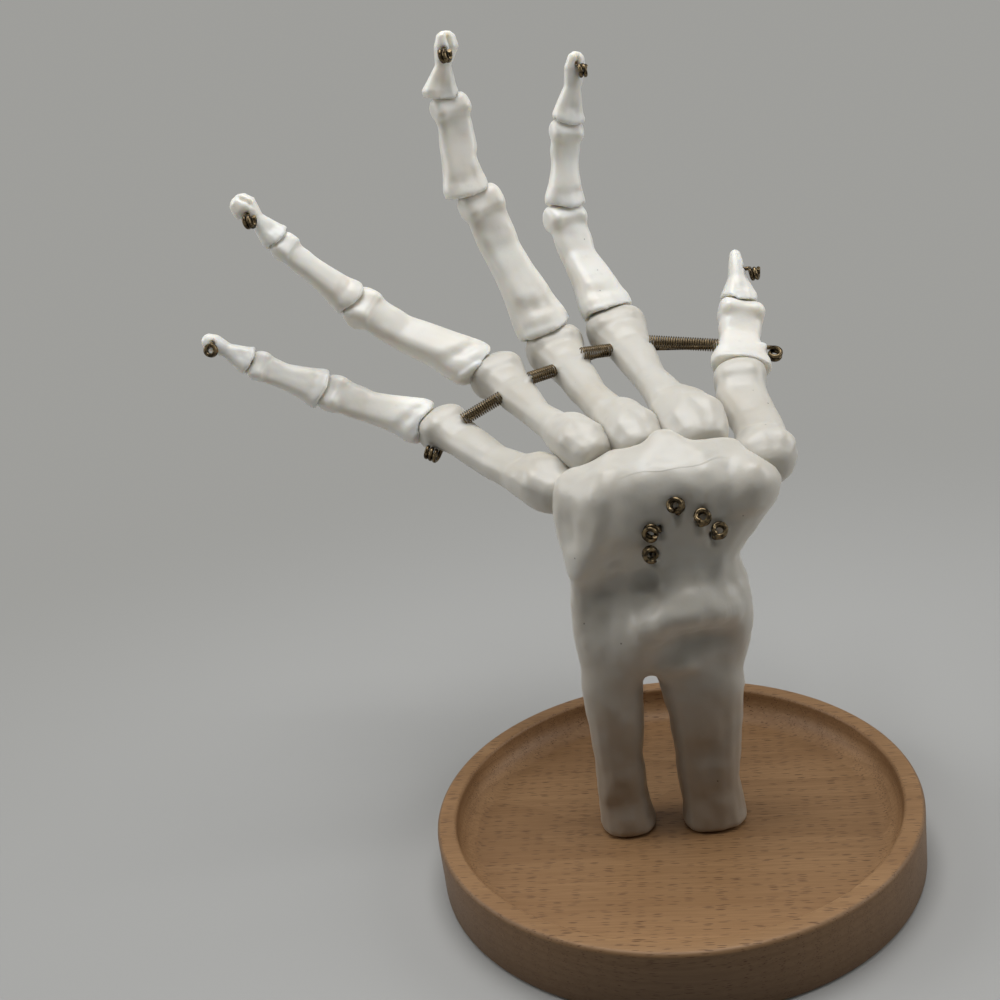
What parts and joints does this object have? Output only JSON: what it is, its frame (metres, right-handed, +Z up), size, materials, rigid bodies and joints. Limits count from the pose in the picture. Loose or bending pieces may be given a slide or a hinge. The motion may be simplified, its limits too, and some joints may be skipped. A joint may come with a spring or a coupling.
{
  "type": "skeleton hand jewelry holder",
  "caption": "Life-size skeleton hand on a round wooden tray: its bones are strung on wires, held apart by a cross wire with coil springs, and bend at the finger joints.",
  "frame": {"origin": "middle of the tray's underside", "axes": "+Z up; +Y away from the viewer, the way the metacarpals lean; +X towards the thumb"},
  "size_m": [0.1847, 0.1627, 0.2185],
  "materials": {
    "moulded_bone": "off-white, softly glossy",
    "beech": "stained and waxed, satin",
    "antique_bronze": "darkened bronze",
    "zinc_steel": "zinc plated"
  },
  "bodies": {
    "stand": {"tray": "beech", "wrist_block": "moulded_bone", "ulna_screw": "zinc_steel", "radius_screw": "zinc_steel", "thumb_metacarpal": "moulded_bone", "forefinger_metacarpal": "moulded_bone", "long_finger_metacarpal": "moulded_bone", "ring_finger_metacarpal": "moulded_bone", "little_finger_metacarpal": "moulded_bone", "thumb_proximal_phalanx": "moulded_bone", "cross_wire": "antique_bronze", "spring_little_finger_to_ring_finger": "antique_bronze", "spring_ring_finger_to_long_finger": "antique_bronze", "spring_long_finger_to_forefinger": "antique_bronze", "spring_forefinger_to_thumb": "antique_bronze", "thumb_wire": "antique_bronze", "forefinger_wire": "antique_bronze", "long_finger_wire": "antique_bronze", "ring_finger_wire": "antique_bronze", "little_finger_wire": "antique_bronze"},
    "thumb_distal_phalanx": {"thumb_distal_phalanx": "moulded_bone"},
    "forefinger_proximal_phalanx": {"forefinger_proximal_phalanx": "moulded_bone"},
    "forefinger_middle_phalanx": {"forefinger_middle_phalanx": "moulded_bone"},
    "forefinger_distal_phalanx": {"forefinger_distal_phalanx": "moulded_bone"},
    "long_finger_proximal_phalanx": {"long_finger_proximal_phalanx": "moulded_bone"},
    "long_finger_middle_phalanx": {"long_finger_middle_phalanx": "moulded_bone"},
    "long_finger_distal_phalanx": {"long_finger_distal_phalanx": "moulded_bone"},
    "ring_finger_proximal_phalanx": {"ring_finger_proximal_phalanx": "moulded_bone"},
    "ring_finger_middle_phalanx": {"ring_finger_middle_phalanx": "moulded_bone"},
    "ring_finger_distal_phalanx": {"ring_finger_distal_phalanx": "moulded_bone"},
    "little_finger_proximal_phalanx": {"little_finger_proximal_phalanx": "moulded_bone"},
    "little_finger_middle_phalanx": {"little_finger_middle_phalanx": "moulded_bone"},
    "little_finger_distal_phalanx": {"little_finger_distal_phalanx": "moulded_bone"}
  },
  "joints": [
    {"name": "thumb_end_joint", "type": "hinge", "parent": "stand", "child": "thumb_distal_phalanx", "pos_m": [0.03398, 0.07144, 0.12979], "axis": [0.9585, 0.005, -0.2849], "range_deg": [-24, 45], "deforming": ["thumb_wire"]},
    {"name": "forefinger_knuckle", "type": "hinge", "parent": "stand", "child": "forefinger_proximal_phalanx", "pos_m": [-0.00231, 0.0705, 0.13006], "axis": [0.9604, 0.261, 0.0972], "range_deg": [-30, 45], "deforming": ["forefinger_wire"]},
    {"name": "forefinger_middle_joint", "type": "hinge", "parent": "forefinger_proximal_phalanx", "child": "forefinger_middle_phalanx", "pos_m": [-0.01447, 0.09042, 0.16193], "axis": [0.8611, 0.5084, 0.0107], "range_deg": [-35, 45], "deforming": ["forefinger_wire"]},
    {"name": "forefinger_end_joint", "type": "hinge", "parent": "forefinger_middle_phalanx", "child": "forefinger_distal_phalanx", "pos_m": [-0.01107, 0.09393, 0.18686], "axis": [0.861, 0.474, -0.1842], "range_deg": [-15, 50], "deforming": ["forefinger_wire"]},
    {"name": "long_finger_knuckle", "type": "hinge", "parent": "stand", "child": "long_finger_proximal_phalanx", "pos_m": [-0.02089, 0.06771, 0.12696], "axis": [0.9372, 0.3268, 0.1217], "range_deg": [-45, 25], "deforming": ["long_finger_wire"]},
    {"name": "long_finger_middle_joint", "type": "hinge", "parent": "long_finger_proximal_phalanx", "child": "long_finger_middle_phalanx", "pos_m": [-0.03769, 0.0763, 0.17056], "axis": [0.8248, 0.5231, 0.2146], "range_deg": [-13, 60], "deforming": ["long_finger_wire"]},
    {"name": "long_finger_end_joint", "type": "hinge", "parent": "long_finger_middle_phalanx", "child": "long_finger_distal_phalanx", "pos_m": [-0.04286, 0.07779, 0.19824], "axis": [0.8444, 0.5197, 0.1299], "range_deg": [-12, 50], "deforming": ["long_finger_wire"]},
    {"name": "ring_finger_knuckle", "type": "hinge", "parent": "stand", "child": "ring_finger_proximal_phalanx", "pos_m": [-0.03794, 0.05857, 0.12297], "axis": [0.88, 0.4451, 0.1657], "range_deg": [-45, 30], "deforming": ["ring_finger_wire"]},
    {"name": "ring_finger_middle_joint", "type": "hinge", "parent": "ring_finger_proximal_phalanx", "child": "ring_finger_middle_phalanx", "pos_m": [-0.07423, 0.05984, 0.14692], "axis": [0.4009, 0.7174, 0.5697], "range_deg": [-15, 55], "deforming": ["ring_finger_wire"]},
    {"name": "ring_finger_end_joint", "type": "hinge", "parent": "ring_finger_middle_phalanx", "child": "ring_finger_distal_phalanx", "pos_m": [-0.09263, 0.0566, 0.16737], "axis": [0.46, 0.7146, 0.527], "range_deg": [-15, 50], "deforming": ["ring_finger_wire"]},
    {"name": "little_finger_knuckle", "type": "hinge", "parent": "stand", "child": "little_finger_proximal_phalanx", "pos_m": [-0.05399, 0.04737, 0.11204], "axis": [0.76, 0.609, 0.2268], "range_deg": [-30, 45], "deforming": ["little_finger_wire"]},
    {"name": "little_finger_middle_joint", "type": "hinge", "parent": "little_finger_proximal_phalanx", "child": "little_finger_middle_phalanx", "pos_m": [-0.08522, 0.05232, 0.12456], "axis": [0.3797, 0.5867, 0.7153], "range_deg": [-20, 55], "deforming": ["little_finger_wire"]},
    {"name": "little_finger_end_joint", "type": "hinge", "parent": "little_finger_middle_phalanx", "child": "little_finger_distal_phalanx", "pos_m": [-0.10504, 0.05093, 0.13553], "axis": [0.3598, 0.588, 0.7244], "range_deg": [-15, 50], "deforming": ["little_finger_wire"]}
  ]
}
